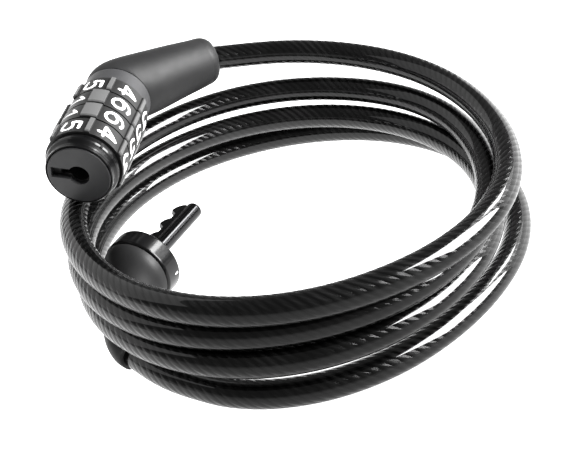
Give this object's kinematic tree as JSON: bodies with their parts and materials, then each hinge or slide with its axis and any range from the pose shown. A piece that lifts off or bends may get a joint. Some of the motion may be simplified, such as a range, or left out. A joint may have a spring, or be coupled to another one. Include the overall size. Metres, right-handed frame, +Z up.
{
  "type": "cable lock",
  "caption": "Coiled combination cable lock: numbered dials on a round lock head, a bent rubber boot, a coiled jacketed steel cable and a loose plug with a toothed locking pin.",
  "frame": {"origin": "on the surface that the coil lies on, in the middle of the underside of the coil's front side", "axes": "+Z up from that surface, +X to the right and +Y towards the back, as the coil lies with the lock head on its left side"},
  "size_m": [0.1781, 0.1765, 0.0746],
  "materials": {
    "jacket": "glossy smoke-black PVC over steel strands",
    "head_black": "satin black",
    "face_grey": "satin dark grey",
    "boot_rubber": "satin black",
    "dial": "satin, with printed white digits",
    "mark_white": "printed",
    "mark_black": "printed",
    "steel": "turned",
    "spring_steel": "blued",
    "pin_black": "black plated, glossy",
    "zinc": "die cast",
    "washer_black": "matte"
  },
  "bodies": {
    "housing": {"cable_coil": "jacket", "cable_end": "jacket", "cable_ferrule": "steel", "cable_start": "jacket", "detent_strip": "spring_steel", "dial_spacers": "washer_black", "ferrule_pin": "steel", "front_collar": "head_black", "head_boot": "boot_rubber", "index_mark": "mark_black", "locking_pin": "pin_black", "plug_boot": "boot_rubber", "plug_cap": "head_black", "plug_cross_pin": "steel", "plug_ferrule": "steel", "plug_mark": "mark_white", "rear_collar": "face_grey", "spindle_tube": "zinc", "spring_washer": "spring_steel"},
    "core": {"core_clip": "spring_steel", "core_tube": "zinc", "end_plate": "face_grey"},
    "dial_1": {"code_ring_1": "zinc", "dial_1": "dial"},
    "dial_2": {"code_ring_2": "zinc", "dial_2": "dial"},
    "dial_3": {"code_ring_3": "zinc", "dial_3": "dial"},
    "dial_4": {"code_ring_4": "zinc", "dial_4": "dial"}
  },
  "joints": [
    {"name": "dial_1_turn", "type": "hinge", "parent": "housing", "child": "dial_1", "pos_m": [-0.06042, 0.11672, 0.05924], "axis": [-0.2432, -0.9684, -0.0558], "continuous": true},
    {"name": "dial_2_turn", "type": "hinge", "parent": "housing", "child": "dial_2", "pos_m": [-0.06277, 0.1074, 0.05871], "axis": [-0.2432, -0.9684, -0.0558], "continuous": true},
    {"name": "dial_3_turn", "type": "hinge", "parent": "housing", "child": "dial_3", "pos_m": [-0.06511, 0.09807, 0.05817], "axis": [-0.2432, -0.9684, -0.0558], "continuous": true},
    {"name": "dial_4_turn", "type": "hinge", "parent": "housing", "child": "dial_4", "pos_m": [-0.06745, 0.08875, 0.05763], "axis": [-0.2432, -0.9684, -0.0558], "continuous": true},
    {"name": "core_turn", "type": "hinge", "parent": "housing", "child": "core", "pos_m": [-0.06996, 0.07877, 0.05706], "axis": [0.2432, 0.9684, 0.0558], "range_deg": [0, 90]}
  ]
}
